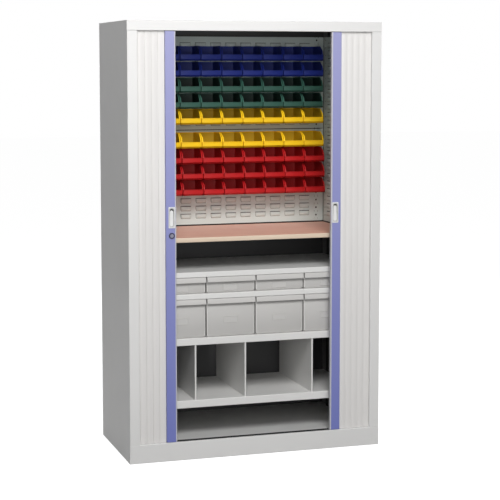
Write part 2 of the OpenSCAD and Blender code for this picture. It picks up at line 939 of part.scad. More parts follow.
left_side_panel();
right_side_panel();
top_panel();
plinth();
base_panel();
back_panel();
left_liner();
right_liner();
top_track();
bottom_track();
shelf_uprights();
shelf_clips();
louvre_panel_upper();
louvre_panel_lower();
left_louvre_wall();
right_louvre_wall();
bins_blue_top();
bins_blue_low();
bins_green_top();
bins_green_low();
bins_yellow_top();
bins_yellow_low();
bins_red_top();
bins_red_mid();
bins_red_low();
worktop();
worktop_brackets();
cover_shelf();
tray_shelf();
main_shelf();
divider_shelf();
drawer_guides();
shelf_dividers();
small_drawer_1();
small_drawer_2();
small_drawer_3();
small_drawer_4();
large_drawer_1();
large_drawer_2();
large_drawer_3();
large_drawer_4();
left_bar();
left_edge_strip();
left_front_leaf();
left_leaf_2();
left_leaf_3();
left_leaf_4();
left_pull();
right_bar();
right_edge_strip();
right_front_leaf();
right_leaf_2();
right_leaf_3();
right_leaf_4();
right_pull();
lock_collar();
lock_barrel();
lock_hook();
strike_plate();
case_screws();
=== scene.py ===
import math

import bmesh
import bpy
import numpy as np
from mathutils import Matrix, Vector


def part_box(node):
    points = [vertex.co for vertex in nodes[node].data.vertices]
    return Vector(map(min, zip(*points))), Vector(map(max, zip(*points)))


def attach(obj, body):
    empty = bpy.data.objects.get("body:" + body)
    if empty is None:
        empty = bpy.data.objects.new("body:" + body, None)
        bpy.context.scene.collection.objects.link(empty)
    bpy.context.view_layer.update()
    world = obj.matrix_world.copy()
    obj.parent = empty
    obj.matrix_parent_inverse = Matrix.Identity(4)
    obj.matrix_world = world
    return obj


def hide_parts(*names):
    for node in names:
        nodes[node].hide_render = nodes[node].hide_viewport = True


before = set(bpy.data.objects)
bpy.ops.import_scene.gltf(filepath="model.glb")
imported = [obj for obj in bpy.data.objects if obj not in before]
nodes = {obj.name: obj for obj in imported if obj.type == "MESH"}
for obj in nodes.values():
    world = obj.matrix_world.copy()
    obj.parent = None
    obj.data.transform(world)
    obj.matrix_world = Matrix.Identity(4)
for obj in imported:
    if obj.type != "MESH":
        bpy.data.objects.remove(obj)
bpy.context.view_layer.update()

# The view: a long lens well in front of the cabinet, left of its middle and a little above its eye
# height. It looks slightly down, and the picture's frame sits low on the lens's axis.
eye = (-2.0823, -6.6902, 1.7849)
look_right = 17.727
look_down = 5.558
lens = bpy.data.cameras.new("view")
lens.lens = 107.4
lens.sensor_width = 36
lens.shift_y = -0.08
lens.clip_end = 100
viewer = bpy.data.objects.new("view", lens)
viewer.location = eye
viewer.rotation_euler = (math.radians(90 - look_down), 0, math.radians(-look_right))
bpy.context.scene.collection.objects.link(viewer)
bpy.context.scene.camera = viewer
bpy.context.scene.view_settings.view_transform = "Standard"


# The room: a pale floor, a white surround, two wide soft lamps above and in front of the cabinet, a
# third at eye height, a weak one near its opening, and others beside and behind it, so that no side
# is left black.
class Wire:
    """An output of a node. Sums, differences and products of it add the Math nodes they need."""

    def __init__(self, finish, socket):
        self.finish = finish
        self.socket = socket

    def maths(self, operation, first, second):
        sockets = {0: first, 1: second}
        return self.finish.node("ShaderNodeMath", {"operation": operation}, sockets)

    def __add__(self, other):
        return self.maths("ADD", self, other)

    def __sub__(self, other):
        return self.maths("SUBTRACT", self, other)

    def __rsub__(self, other):
        return self.maths("SUBTRACT", other, self)

    def __mul__(self, other):
        return self.maths("MULTIPLY", self, other)

    __radd__ = __add__
    __rmul__ = __mul__


class Finish:
    """A material, or the world, with one method that adds a node to it."""

    def __init__(self, name, owner=None):
        self.owner = owner or bpy.data.materials.new(name)
        self.owner.use_nodes = True
        self.tree = self.owner.node_tree
        self.tree.nodes.clear()

    def node(self, kind, settings, sockets, output=0):
        """Adds a node of a type: its settings first, then the values or links of its sockets."""
        made = self.tree.nodes.new(kind)
        for name, value in settings.items():
            setattr(made, name, value)
        for name, value in sockets.items():
            if isinstance(value, Wire):
                self.tree.links.new(value.socket, made.inputs[name])
            elif value is not None:
                made.inputs[name].default_value = value
        return Wire(self, made.outputs[output]) if len(made.outputs) else made


def seen(finish):
    """1 where a ray comes from the camera or by way of a mirror or glass, and else 0."""
    paths = [finish.node("ShaderNodeLightPath", {}, {}, name)
             for name in ("Is Camera Ray", "Is Glossy Ray", "Is Transmission Ray")]
    return finish.node("ShaderNodeMath", {"operation": "MAXIMUM"},
                       {0: paths[0], 1: finish.node("ShaderNodeMath", {"operation": "MAXIMUM"},
                                                    {0: paths[1], 1: paths[2]})})


ambient = 0.035
sky = Finish("surround", bpy.data.worlds.new("surround"))
bpy.context.scene.world = sky.owner
surround = sky.node("ShaderNodeMixShader", {}, {
    0: seen(sky),
    1: sky.node("ShaderNodeBackground", {}, {"Color": (0.96, 0.98, 1, 1), "Strength": ambient}),
    2: sky.node("ShaderNodeBackground", {}, {"Color": (1, 1, 1, 1), "Strength": 1})})
sky.node("ShaderNodeOutputWorld", {}, {"Surface": surround})


def soft_lamp(name, place, aim, width, height, power):
    """A rectangular lamp at a place, which points at another."""
    light = bpy.data.lights.new(name, "AREA")
    light.shape = "RECTANGLE"
    light.size = width
    light.size_y = height
    light.energy = power
    lamp = bpy.data.objects.new(name, light)
    lamp.location = place
    way = [a - p for a, p in zip(aim, place)]
    flat = math.hypot(way[0], way[1])
    lamp.rotation_euler = (math.atan2(flat, -way[2]), 0, math.atan2(-way[0], way[1]))
    lamp.visible_camera = False
    bpy.context.scene.collection.objects.link(lamp)


soft_lamp("high_lamp", (-0.8, -5.0, 5.6), (0, 0, 1.1), 3.0, 2.6, 139)
soft_lamp("middle_lamp", (-0.3, -3.4, 3.5), (0, 0, 1.1), 2.4, 1.4, 76)
soft_lamp("front_lamp", (-1.4, -6.1, 1.9), (0, 0, 1.2), 3.0, 3.0, 68)
soft_lamp("near_lamp", (-0.5, -2.2, 1.9), (0.4, 0, 1.3), 0.6, 1.6, 7)
soft_lamp("left_lamp", (-2.4, 0.2, 3.0), (-0.6, 0, 2.0), 0.8, 0.8, 4)
soft_lamp("right_lamp", (4.0, 0.6, 3.4), (0, 0, 1.3), 2.0, 2.0, 22)
soft_lamp("back_lamp", (0.8, 4.4, 2.6), (0, 0, 1.1), 2.4, 2.5, 140)

floor_size = 30
floor_mesh = bpy.data.meshes.new("floor")
floor_mesh.from_pydata(
    [(x * floor_size, y * floor_size, 0) for x, y in ((-1, -1), (1, -1), (1, 1), (-1, 1))],
    [], [(0, 1, 2, 3)])
floor = bpy.data.objects.new("floor", floor_mesh)
bpy.context.scene.collection.objects.link(floor)
floor_paint = Finish("floor_paint")
laid = floor_paint.node("ShaderNodeBsdfDiffuse", {}, {"Color": (0.3, 0.3, 0.3, 1)})
glow = floor_paint.node("ShaderNodeEmission", {}, {"Color": (1, 1, 1, 1), "Strength": 0.98})
lit = floor_paint.node("ShaderNodeAddShader", {}, {0: laid, 1: glow})
shown = floor_paint.node("ShaderNodeMixShader", {}, {0: seen(floor_paint), 1: laid, 2: lit})
floor_paint.node("ShaderNodeOutputMaterial", {}, {"Surface": shown})
floor_mesh.materials.append(floor_paint.owner)


# The case: folded steel sheets, welded at the seams, in one coat of fine-textured pale powder paint.
# The floor tray is duller, since things are pushed in and out over it.
def place_on(finish):
    """The point on the piece, in metres."""
    return finish.node("ShaderNodeTexCoord", {}, {}, "Object")


def grain(finish, scale, detail=2, stretch=None):
    """Noise between 0 and 1, with so many cells to the metre, drawn out along an axis or even."""
    at = place_on(finish)
    if stretch:
        at = finish.node("ShaderNodeMapping", {}, {"Vector": at, "Scale": stretch})
    return finish.node("ShaderNodeTexNoise", {}, {"Vector": at, "Scale": scale, "Detail": detail})


def shaded(finish, colour, tone):
    """A colour made lighter and darker by a wire that runs about 1."""
    grey = finish.node("ShaderNodeCombineXYZ", {}, {0: tone, 1: tone, 2: tone})
    return finish.node("ShaderNodeVectorMath", {"operation": "MULTIPLY"}, {0: colour, 1: grey})


def with_painted_shade(finish, colour, depth):
    """A colour made darker by the mesh's own per-point value of painted shade, which paints the shade that
    falls in creases and pockets, and lighter where that is below 0, which paints highlights on edges."""
    painted_shade = finish.node("ShaderNodeAttribute", {"attribute_name": "painted_shade"}, {}, 2)
    return shaded(finish, colour, 1 - painted_shade * depth)


def finish_off(finish, colour, roughness, metallic=0.0, height=None, bump=0.1, depth=0.0002, shine=0.5):
    """Joins the colour, roughness and bump to the shader, and the shader to the surface."""
    normal = None
    if height is not None:
        normal = finish.node("ShaderNodeBump", {}, {
            "Height": height, "Strength": bump, "Distance": depth})
    skin = finish.node("ShaderNodeBsdfPrincipled", {}, {
        "Base Color": colour, "Roughness": roughness, "Metallic": metallic, "Normal": normal,
        "Specular IOR Level": shine})
    finish.node("ShaderNodeOutputMaterial", {}, {"Surface": skin})
    return finish


def baked(paint, colour, roughness=0.42, uneven=0.03, bump=0.12, shine=0.4):
    """Joins up powder paint of a colour: fine orange peel, a slow drift of tone and duller patches."""
    tone = grain(paint, 2.2) * (2 * uneven) + (1 - uneven)
    dull = grain(paint, 14) * 0.12 + (roughness - 0.06)
    return finish_off(paint, shaded(paint, colour, tone), dull, height=grain(paint, 700), bump=bump,
                      shine=shine)


def powder_coat(name, colour, painted_shade=0, **look):
    """A new powder paint, darker by so much where the mesh's painted shade value is 1."""
    paint = Finish(name)
    return baked(paint, with_painted_shade(paint, colour, painted_shade) if painted_shade else colour, **look)


def dress(finish, *names):
    """Gives CAD nodes this finish."""
    for name in names:
        mesh = nodes[name].data
        mesh.materials.clear()
        mesh.materials.append(finish.owner)


case_colour = (0.72, 0.715, 0.705)
dress(powder_coat("case_paint", case_colour), "left_side_panel", "right_side_panel", "top_panel", "plinth")
dress(powder_coat("floor_paint_inside", (0.6, 0.6, 0.59), uneven=0.06), "base_panel")

# The back panel is plain sheet, painted like the case outside. Its inside face is painted almost
# black as painted shade, so it stays almost black between the shelves.
inside_shade_colour = (0.05, 0.05, 0.051)
back_paint = Finish("back_paint")
across = back_paint.node("ShaderNodeSeparateXYZ", {}, {0: place_on(back_paint)}, 1)
low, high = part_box("back_panel")
sheet_middle = (low.y + high.y) / 2
outside = back_paint.node("ShaderNodeMath", {"operation": "GREATER_THAN"}, {0: across, 1: sheet_middle})
painted_inside_shade = back_paint.node("ShaderNodeMix", {"data_type": "RGBA"}, {
    0: outside, 6: (*inside_shade_colour, 1), 7: (*case_colour, 1)}, 2)
dress(baked(back_paint, painted_inside_shade, roughness=0.46, uneven=0.04), "back_panel")

# The liners part the side pockets from the fittings: folded sheet in a matt dark grey, which paints the
# shade of the deep bays. Each stands between the floor tray and the top, and carries the slotted uprights.
dress(powder_coat("liner_painted_shade", (0.2, 0.2, 0.2), roughness=0.55), "left_liner", "right_liner")


# The tracks are extruded nylon, filled with glass and almost black, with four grooves each.
def moulded(name, colour, roughness=0.4, stipple=900, bump=0.08, uneven=0.04, shine=0.3, painted_shade=0):
    """Moulded plastic: a fine stipple, a slow drift of tone, and shine that comes and goes."""
    plastic = Finish(name)
    tone = grain(plastic, 5) * (2 * uneven) + (1 - uneven)
    dull = grain(plastic, 30, 3) * 0.14 + (roughness - 0.07)
    # Where a depth is given, the mesh's per-point values of painted shade darken this plastic in creases
    # and lighten it on edges, as painted light.
    if painted_shade:
        colour = with_painted_shade(plastic, colour, painted_shade)
    return finish_off(plastic, shaded(plastic, colour, tone), dull, height=grain(plastic, stipple),
                      bump=bump, depth=0.0001, shine=shine)


dress(moulded("track_nylon", (0.028, 0.028, 0.03), roughness=0.45), "top_track", "bottom_track")


# Angles and screws are bright zinc-plated steel, with the cloudy spangle that the bath leaves.
# Uprights, clips and guide plates are given an almost black zinc, which paints the shade they stand in
# inside the bays.
def zinc_plated(name, colour=(0.56, 0.56, 0.55), roughness=0.38):
    """Zinc plate: cells a few millimetres wide, each a little lighter or duller than the next."""
    zinc = Finish(name)
    cells = zinc.node("ShaderNodeTexVoronoi", {}, {"Vector": place_on(zinc), "Scale": 160.0}, "Color")
    cell = zinc.node("ShaderNodeSeparateXYZ", {}, {0: cells})
    return finish_off(zinc, shaded(zinc, colour, cell * 0.16 + 0.9), cell * 0.12 + roughness,
                      metallic=0.85, height=grain(zinc, 400), bump=0.05)


zinc = zinc_plated("zinc_plate")
dress(zinc, "worktop_brackets", "case_screws")
dress(zinc_plated("painted_shade_zinc", (0.07, 0.07, 0.07), roughness=0.5),
      "shelf_uprights", "shelf_clips", "drawer_guides")


# The louvre panels are pressed steel sheets behind and beside the bins. Each louvre is slit along
# its top and pressed out to a rounded hood, and a column of round holes runs up each end. Two panels
# stand one above the other behind the bins, with a narrow joint between them.
def between(low, high, soft):
    """0 up to low, 1 from high on, and a quarter sine wave between."""
    return np.sin(np.pi / 2 * np.clip((soft - low) / (high - low), 0, 1))


def shell(face, back):
    """A closed skin from two grids of points: both grids, and a strip round their edges."""
    rows, cols = face.shape[:2]
    count = rows * cols
    at = np.arange(count).reshape(rows, cols)
    quads = np.stack([at[:-1, :-1], at[:-1, 1:], at[1:, 1:], at[1:, :-1]], -1).reshape(-1, 4)
    rim = np.concatenate([at[0], at[1:, -1], at[-1, -2::-1], at[-2:0:-1, 0]])
    on = np.roll(rim, -1)
    edge = np.stack([rim, on, on + count, rim + count], 1)
    return np.vstack([face.reshape(-1, 3), back.reshape(-1, 3)]), [quads, quads + count, edge]


def straight(face, back, low, high, axis):
    """A bar from low to high along an axis. Its section lies between two paths of as many points
    each, and both ends are closed by strips from one path to the other."""
    loop = np.vstack([face, back[::-1]])
    count = len(loop)
    points = np.vstack([np.insert(loop, axis, end, axis=1) for end in (low, high)])
    at = np.arange(count)
    on = np.roll(at, -1)
    step = np.arange(len(face) - 1)
    cap = np.stack([step, step + 1, count - 2 - step, count - 1 - step], 1)
    return points, [np.stack([at, on, on + count, at + count], 1), cap, cap + count]


def joined(shapes):
    """Several shapes as one: their points end to end, and each one's face numbers moved on."""
    starts = np.cumsum([0] + [len(points) for points, faces in shapes])
    faces = [array + start for (_, arrays), start in zip(shapes, starts) for array in arrays]
    return np.vstack([points for points, _ in shapes]), faces


def repeated(shape, places):
    """The shape once at each place."""
    points, faces = shape
    steps = np.arange(len(places))[:, None, None] * len(points)
    return ((points[None] + np.asarray(places)[:, None]).reshape(-1, 3),
            [(array[None] + steps).reshape(-1, array.shape[1]) for array in faces])


def made(name, shape, finish, body, slot, *stands_for, sharp=35, painted_shade=None):
    """Puts a shape into the scene as one piece that rides on a body and stands for CAD nodes. Each
    point may have a value of painted shade, which some finishes show as painted shade, and below 0 as a
    painted highlight."""
    points, faces = shape
    mesh = bpy.data.meshes.new(name)
    mesh.from_pydata(points.tolist(), [], [face for array in faces for face in array.tolist()])
    work = bmesh.new()
    work.from_mesh(mesh)
    bmesh.ops.recalc_face_normals(work, faces=work.faces)
    work.to_mesh(mesh)
    work.free()
    mesh.shade_smooth()
    mesh.set_sharp_from_angle(angle=math.radians(sharp))
    # Each point's value of painted shade is stored on the mesh for the finishes to read.
    if painted_shade is not None:
        mesh.attributes.new("painted_shade", "FLOAT", "POINT").data.foreach_set("value", painted_shade.astype(np.float32))
    mesh.materials.append(finish.owner)
    piece = bpy.data.objects.new(name, mesh)
    bpy.context.scene.collection.objects.link(piece)
    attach(piece, body)
    if stands_for:
        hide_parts(*stands_for)
    return piece


sheet = 0.0015
row_pitch, column_pitch = 0.0375, 0.076
top_row, foot_band = 0.031, 0.036
hem, seam = 0.006, 0.004
hood_w, hood_h, hood_out = 0.054, 0.022, 0.006
slit_low, slit_high = -0.004, 0.0025
hole_d, hole_w, hole_rise = 0.009, 0.02, 0.016


def hood():
    """A louvre in (along, out, up) from the middle of its top: it swells in a quarter sine wave from
    its foot and from both ends, and ends at its top edge. Its foot draws in by a parabola, which
    rounds its lower corners."""
    along, up = np.meshgrid(np.array([-1, -0.93, -0.82, 0.82, 0.93, 1]), np.array([0, 0.14, 0.36, 0.6, 1]))
    out = hood_out * between(0, 0.36, up) * between(0, 0.18, 1 - abs(along))
    drawn_in = 1 - 0.14 * np.clip(1 - up / 0.5, 0, 1) ** 2
    face = np.stack([along * drawn_in * hood_w / 2, out, (up - 1) * hood_h], -1)
    return shell(face, face - [0, 0.0012, 0])


def pierced(w, h):
    """A piece of sheet with a round hole: rings of points from the hole's circle to the rectangle,
    which a point reaches where its own direction meets the nearer side."""
    turn = np.linspace(0, 2 * np.pi, 17)[:-1]
    way = np.stack([np.cos(turn), np.sin(turn)], -1)
    reach = 1 / np.maximum(abs(way[:, 0]) / (w / 2), abs(way[:, 1]) / (h / 2))
    hole, edge = way * hole_d / 2, way * reach[:, None]
    loops = [np.insert(loop, 1, out, axis=1) for loop, out in
             ((hole, 0), (edge, 0), (edge, -sheet), (hole, -sheet), (hole, 0))]
    at = np.arange(16)
    on = np.roll(at, -1)
    bands = [np.stack([at, on, on + 16, at + 16], 1) + 16 * ring for ring in range(3)]
    last = np.stack([at + 48, on + 48, on, at], 1)
    return np.vstack(loops[:4]), bands + [last]


def hole_columns(low, high, holes, levels):
    """Strips of sheet from low to high, each with a round hole at every level: a pierced piece round
    each hole, as tall as the nearer bound allows, and plain sheet in what is left."""
    flat = np.array([[-hole_w / 2, 0], [hole_w / 2, 0]])
    at_holes = [(hole, 0, 0) for hole in holes]
    bounds = [low, *(levels[:-1] + levels[1:]) / 2, high]
    pieces = []
    for foot, top, level in zip(bounds[:-1], bounds[1:], levels):
        half = min(level - foot, top - level)
        pieces.append(repeated(pierced(hole_w, 2 * half), [(hole, 0, level) for hole in holes]))
        for start, end in ((foot, level - half), (level + half, top)):
            if end - start > 1e-6:
                pieces.append(repeated(straight(flat, flat - [0, sheet], start, end, 2), at_holes))
    return pieces


def louvred(ends, low, high, columns, holes):
    """A sheet in (along, out, up) with louvres and holes. Its grid has a line at each side of every
    slit, and the cells of slits and holes are left out; walls of sheet thickness line the slits. The
    painted shade of a hood falls from 1 at its edges to 0 as it swells, which paints a dark outline round
    each louvre where shade falls."""
    rows = np.arange(high - top_row, low + foot_band, -row_pitch)[::-1]
    along = np.sort(np.concatenate([ends, columns - hood_w / 2, columns + hood_w / 2,
                                    holes - hole_w / 2, holes + hole_w / 2]))
    up = np.sort(np.concatenate([[low, high], rows + slit_low, rows + slit_high]))
    x, z = np.meshgrid(along, up)
    face = np.stack([x, 0 * x, z], -1)
    points, (quads, back, rim) = shell(face, face - [0, sheet, 0])
    middle = (along[1:] + along[:-1]) / 2
    is_slit = np.isin(np.round(middle, 5), np.round(columns, 5))
    is_hole = np.isin(np.round(middle, 5), np.round(holes, 5))
    slit_row = np.isclose(np.diff(up), slit_high - slit_low)
    slit_cells = np.outer(slit_row, is_slit)
    gone = (slit_cells | is_hole).ravel()
    slits = quads[slit_cells.ravel()]
    count = len(points) // 2
    walls = [np.stack([slits[:, i], slits[:, (i + 1) % 4], slits[:, (i + 1) % 4] + count,
                       slits[:, i] + count], 1) for i in range(4)]
    plate = (points, [quads[~gone], back[~gone], rim, *walls])
    hoods = repeated(hood(), [(column, 0, row) for column in columns for row in rows])
    levels = np.append(rows[0] - row_pitch, rows) + hole_rise
    shape = joined([plate, hoods, *hole_columns(low, high, holes, levels)])
    painted_shade = np.zeros(len(shape[0]))
    # Painted shade: a dark outline along each hood's foot and ends, where shade falls.
    painted_shade[len(points):len(points) + len(hoods[0])] = np.clip(1 - 1.6 * hoods[0][:, 1] / hood_out, 0, 1)
    return *shape, painted_shade


# The louvre paint is darkened by 0.65 at the hoods' painted shade outlines.
plate_paint = powder_coat("louvre_paint", (0.61, 0.69, 0.66), roughness=0.38, uneven=0.05, painted_shade=0.65)
panel_columns, wall_columns = 12, 5
for name in ("louvre_panel_lower", "louvre_panel_upper"):
    low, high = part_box(name)
    face_y = low.y + hood_out
    columns = (np.arange(panel_columns) - (panel_columns - 1) / 2) * column_pitch
    holes = np.array([-1, 1]) * (high.x - 0.036)
    foot = low.z - hem if name == "louvre_panel_lower" else low.z + seam
    points, faces, painted_shade = louvred([low.x, high.x], foot, high.z, columns, holes)
    front = points * [1, -1, 1] + [0, face_y, 0]
    shape = [(front, faces)]
    for x, inner in ((low.x, low.x + sheet), (high.x, high.x - sheet)):
        outer_path = np.array([[x, face_y + sheet], [x, high.y]])
        inner_path = np.array([[inner, face_y + sheet], [inner, high.y]])
        shape.append(straight(outer_path, inner_path, low.z, high.z, 2))
    shape = joined(shape)
    made(name + "_pressed", shape, plate_paint, "case", "plate_grey", name,
         painted_shade=np.pad(painted_shade, (0, len(shape[0]) - len(painted_shade))))

for name, side in (("left_louvre_wall", 1), ("right_louvre_wall", -1)):
    low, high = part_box(name)
    face_x = (low.x if side > 0 else high.x) + side * sheet
    columns = (low.y + high.y) / 2 + (np.arange(wall_columns) - (wall_columns - 1) / 2) * column_pitch
    holes = np.array([low.y + 0.02, high.y - 0.02])
    points, faces, painted_shade = louvred([low.y, high.y], low.z - hem, high.z, columns, holes)
    wall = np.stack([face_x + side * points[:, 1], points[:, 0], points[:, 2]], -1)
    made(name + "_pressed", (wall, faces), plate_paint, "case", "plate_grey", name, painted_shade=painted_shade)


# The bins hang on the louvres in nine rows: open boxes of satin plastic with a low front, a foot
# that is set back under it, a rim to grip, and a hook behind the back edge.
def outline(left, right, front, back, r, stops=()):
    """A rectangle with quarter circles at its corners, anticlockwise from the front right, and with
    a point at each stop on its two long sides."""
    turn = np.linspace(0, np.pi / 2, 4)
    arcs = []
    for corner, (x, y) in enumerate(((right - r, front + r), (right - r, back - r),
                                     (left + r, back - r), (left + r, front + r))):
        way = turn + (corner - 1) * np.pi / 2
        arcs.append(np.stack([x + r * np.cos(way), y + r * np.sin(way)], -1))
    stops = np.asarray(stops, float)
    up_side = np.stack([np.full(len(stops), right), stops], -1)
    down_side = np.stack([np.full(len(stops), left), stops[::-1]], -1)
    return np.vstack([arcs[0], up_side, arcs[1], arcs[2], down_side, arcs[3]])


def box_of(rings):
    """An open box from rings of as many points each, from the middle of its underside out, up,
    over the rim and down to the middle of its floor: a band between each two, and a cap at both."""
    count = len(rings[0])
    at = np.arange(count)
    on = np.roll(at, -1)
    bands = [np.stack([at, on, on + count, at + count], 1) + count * i for i in range(len(rings) - 1)]
    return np.vstack(rings), bands + [at[None], at[None] + count * (len(rings) - 1)]


bin_count, bin_pitch = 9, 0.1025
bin_w, bin_d, bin_h = 0.1, 0.145, 0.07
bin_wall, bin_rim, bin_post = 0.002, 0.002, 0.0036
toe_in, toe_h = 0.012, 0.009
side_stops = (0.004, 0.013, 0.044)
lip_top, shoulder = 0.03, 0.05
hook_d, hook_drop, hook_t, hook_in = 0.005, 0.009, 0.0025, 0.006


def bin_ring(inset, front, height, post=0.0):
    """One ring of a bin. Its height is a number, or how far it lies under the sloping rim. The post
    is how much thicker the side walls are at the front; this fades out over 30 mm."""
    plan = outline(inset - bin_w / 2, bin_w / 2 - inset, front, bin_d - inset, 0.0028 - inset / 2,
                   side_stops)
    top = np.interp(plan[:, 1], side_stops, [lip_top, shoulder, bin_h])
    plan[:, 0] -= np.sign(plan[:, 0]) * post * np.clip((0.05 - plan[:, 1]) / 0.03, 0, 1)
    return np.column_stack([plan, np.full(len(plan), height) if height >= 0 else top + height])


hook_top = np.array([[bin_d - 0.001, bin_h], [bin_d + hook_d, bin_h], [bin_d + hook_d, bin_h - hook_drop]])
hook_under = np.array([[bin_d - 0.001, bin_h - hook_t], [bin_d + 0.003, bin_h - hook_t],
                       [bin_d + 0.003, bin_h - hook_drop]])
hook = straight(hook_top, hook_under, hook_in - bin_w / 2, bin_w / 2 - hook_in, 0)
at_rim = -1e-6
# The second number of each ring is painted light: below 0 on the rim it paints a highlight, and from just
# under the rim down to the floor it paints the shade that the bin above casts inside.
bin_rings = [
    (bin_ring(0.001, toe_in, 0), 0), (bin_ring(0, toe_in - 0.002, 0.0012), 0),
    (bin_ring(0, 0, toe_h), 0), (bin_ring(0, 0, -bin_rim), 0), (bin_ring(0, -bin_rim, -bin_rim), 0),
    (bin_ring(0, -bin_rim, -0.0005), -0.3), (bin_ring(0.0004, 0.0005 - bin_rim, at_rim), -0.5),
    (bin_ring(bin_wall, bin_wall, at_rim, bin_post), -0.5),
    (bin_ring(bin_wall, bin_wall, -0.006, bin_post), 0.7),
    (bin_ring(bin_wall, bin_wall, toe_h + bin_wall, bin_post), 1),
    (bin_ring(bin_wall, toe_in + bin_wall, bin_wall, bin_post), 1)]
one_bin = joined([hook, box_of([ring for ring, painted_shade in bin_rings])])
bin_painted_shade = np.concatenate([np.zeros(len(hook[0])), *(np.full(len(ring), painted_shade) for ring, painted_shade in bin_rings)])

# Each colour's second number is how far the bins' painted shade darkens it inside.
bin_colours = {"blue": ((0.016, 0.031, 0.235), 0.25), "green": ((0.033, 0.098, 0.074), 0.92),
               "yellow": ((0.92, 0.58, 0.014), 0.45), "red": ((0.46, 0.012, 0.014), 0.08)}
bin_plastic = {shade: moulded("bin_" + shade, colour, roughness=0.42, shine=0.2, painted_shade=depth)
               for shade, (colour, depth) in bin_colours.items()}
for name in sorted(nodes):
    if name.startswith("bins_"):
        low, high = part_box(name)
        shade = name.split("_")[1]
        middle = (low.x + high.x) / 2
        row = [(middle + (i - (bin_count - 1) / 2) * bin_pitch, low.y + bin_rim, low.z)
               for i in range(bin_count)]
        made(name + "_moulded", repeated(one_bin, row), bin_plastic[shade], "case", "bin_" + shade, name,
             painted_shade=np.tile(bin_painted_shade, len(row)))


# The worktop is a beech board with its grain along the cabinet, stained a warm brown and lacquered.
# Its front edge has a band of plain pale wood, and two steel angles carry it.
def wood(name, dark, light, ring_scale=38.0, backed_to=0):
    """Board: streaks drawn out along X, slow bands of tone, and pores as fine dark dashes. Below a
    height it shows the grey sheet that backs it."""
    board = Finish(name)
    streak = grain(board, 9, 6, stretch=(0.35, 7, 7))
    band = grain(board, ring_scale, 2, stretch=(0.03, 0.6, 0.6))
    pore = grain(board, 260, 1, stretch=(0.06, 1, 1))
    mask = streak * 0.6 + band * 0.4
    colour = board.node("ShaderNodeMix", {"data_type": "RGBA"},
                        {0: mask, 6: (*dark, 1), 7: (*light, 1)}, 2)
    height = board.node("ShaderNodeSeparateXYZ", {}, {0: place_on(board)}, 2)
    above = board.node("ShaderNodeMath", {"operation": "GREATER_THAN"}, {0: height, 1: backed_to})
    colour = board.node("ShaderNodeMix", {"data_type": "RGBA"},
                        {0: above, 6: (0.3, 0.3, 0.29, 1), 7: colour}, 2)
    return finish_off(board, shaded(board, colour, 1.04 - pore * 0.1), 0.34 + pore * 0.14,
                      height=streak + pore, bump=0.15, depth=0.0003)


def eased(corners, r, steps=4):
    """A path with its inner corners rounded: each is the curve (1-t)^2 A + 2t(1-t) C + t^2 B, from A
    to B on its two legs at a distance r from the corner C."""
    t = np.linspace(0, 1, steps)[:, None]
    path = [corners[:1]]
    for before, corner, after in zip(corners[:-2], corners[1:-1], corners[2:]):
        a = corner + (before - corner) * min(r / np.linalg.norm(before - corner), 0.5)
        b = corner + (after - corner) * min(r / np.linalg.norm(after - corner), 0.5)
        path.append((1 - t) ** 2 * a + 2 * t * (1 - t) * corner + t ** 2 * b)
    return np.vstack([*path, corners[-1:]])


low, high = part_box("worktop")
band_t, edge_r, backing_t = 0.0025, 0.0015, 0.001
board_front = low.y + band_t
tops = np.array([[board_front, high.z], [high.y - edge_r, high.z], [high.y, high.z - edge_r]])
feet = tops * [1, -1] + [0, low.z + high.z]
board_wood = wood("worktop_wood", (0.83, 0.42, 0.31), (0.97, 0.61, 0.48), backed_to=low.z + backing_t)
made("worktop_board", straight(tops, feet, low.x, high.x, 0), board_wood, "case", "worktop_wood",
     "worktop")
band_tops = np.array([[board_front, high.z - 0.0001], [low.y + edge_r, high.z],
                      [low.y + 0.0004, high.z - 0.0005], [low.y, high.z - edge_r]])
band_feet = band_tops * [1, -1] + [0, low.z + high.z]
edge_wood = wood("edge_wood", (0.6, 0.46, 0.34), (0.79, 0.67, 0.53))
made("worktop_edge", straight(band_tops, band_feet, low.x, high.x, 0), edge_wood, "case", "worktop_wood")


# The shelves and dividers are folded sheets in the case's paint; the shelves' front edges turn down
# and in.
shelf_paint = powder_coat("shelf_paint", (0.71, 0.705, 0.69), roughness=0.36, uneven=0.04)
dress(shelf_paint, "cover_shelf", "tray_shelf", "main_shelf", "divider_shelf", "shelf_dividers")

# The drawers are moulded boxes of warm grey plastic. A pull lip hangs from the top of each front,
# and a card holder sits in the middle of it.
drawer_wall = 0.0025
lip_out, lip_tall, lip_flare = 0.016, 0.024, 0.005
card_w, card_h = 0.068, 0.03
card_low, card_frame = 0.0006, 0.0012


def drawer_box(half, front, back, low, high):
    """The box: rounded under its edge, straight up, over a round rim and down to its floor."""
    steps = ((0.006, 0), (0.0018, 0.0012), (0, 0.004), (0, None), (0.0007, None),
             (drawer_wall - 0.0005, None), (drawer_wall, None), (drawer_wall, 0.005),
             (0.006, drawer_wall))
    drops = (0, 0, 0, 0.0012, 0, 0, 0.0006, 0, 0)
    rings = []
    for (inset, up), drop in zip(steps, drops):
        plan = outline(inset - half, half - inset, front + inset, back - inset, 0.008 - inset / 2)
        rings.append(np.column_stack([plan, np.full(len(plan), high - drop if up is None else low + up)]))
    return box_of(rings)


